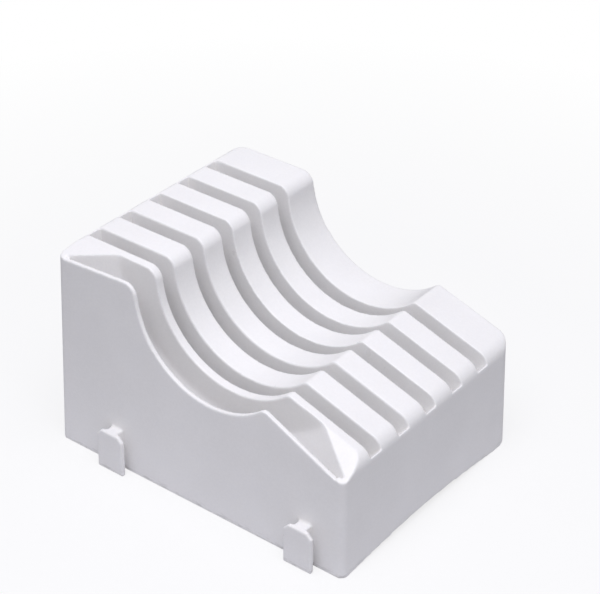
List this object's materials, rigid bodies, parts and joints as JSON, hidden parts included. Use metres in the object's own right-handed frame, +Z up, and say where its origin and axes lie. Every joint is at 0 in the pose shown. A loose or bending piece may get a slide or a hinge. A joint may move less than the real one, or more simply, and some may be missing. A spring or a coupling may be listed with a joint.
{
  "type": "plate holder",
  "caption": "White moulded plate stand with upright plate slots, a wave-shaped top with a finger scoop, a front pocket and T-shaped tongues that couple it to another stand.",
  "frame": {"origin": "middle of the whole part's bounding box at the level it stands on", "axes": "+X along the front from the high side to the low side, -Y towards the front, +Z up"},
  "size_m": [0.234, 0.1928, 0.146],
  "materials": {
    "white_plastic": "satin moulded"
  },
  "bodies": {
    "root": {"front_wall": "white_plastic", "rear_wall": "white_plastic", "high_side_wall": "white_plastic", "low_side_wall": "white_plastic", "pocket_wall": "white_plastic", "pocket_floor": "white_plastic", "high_corner_deck": "white_plastic", "low_corner_deck": "white_plastic", "divider_1": "white_plastic", "divider_2": "white_plastic", "divider_3": "white_plastic", "divider_4": "white_plastic", "rear_deck": "white_plastic", "slot_seat_1": "white_plastic", "slot_seat_2": "white_plastic", "slot_seat_3": "white_plastic", "slot_seat_4": "white_plastic", "slot_seat_5": "white_plastic", "tongue_1": "white_plastic", "tongue_2": "white_plastic"}
  },
  "joints": []
}
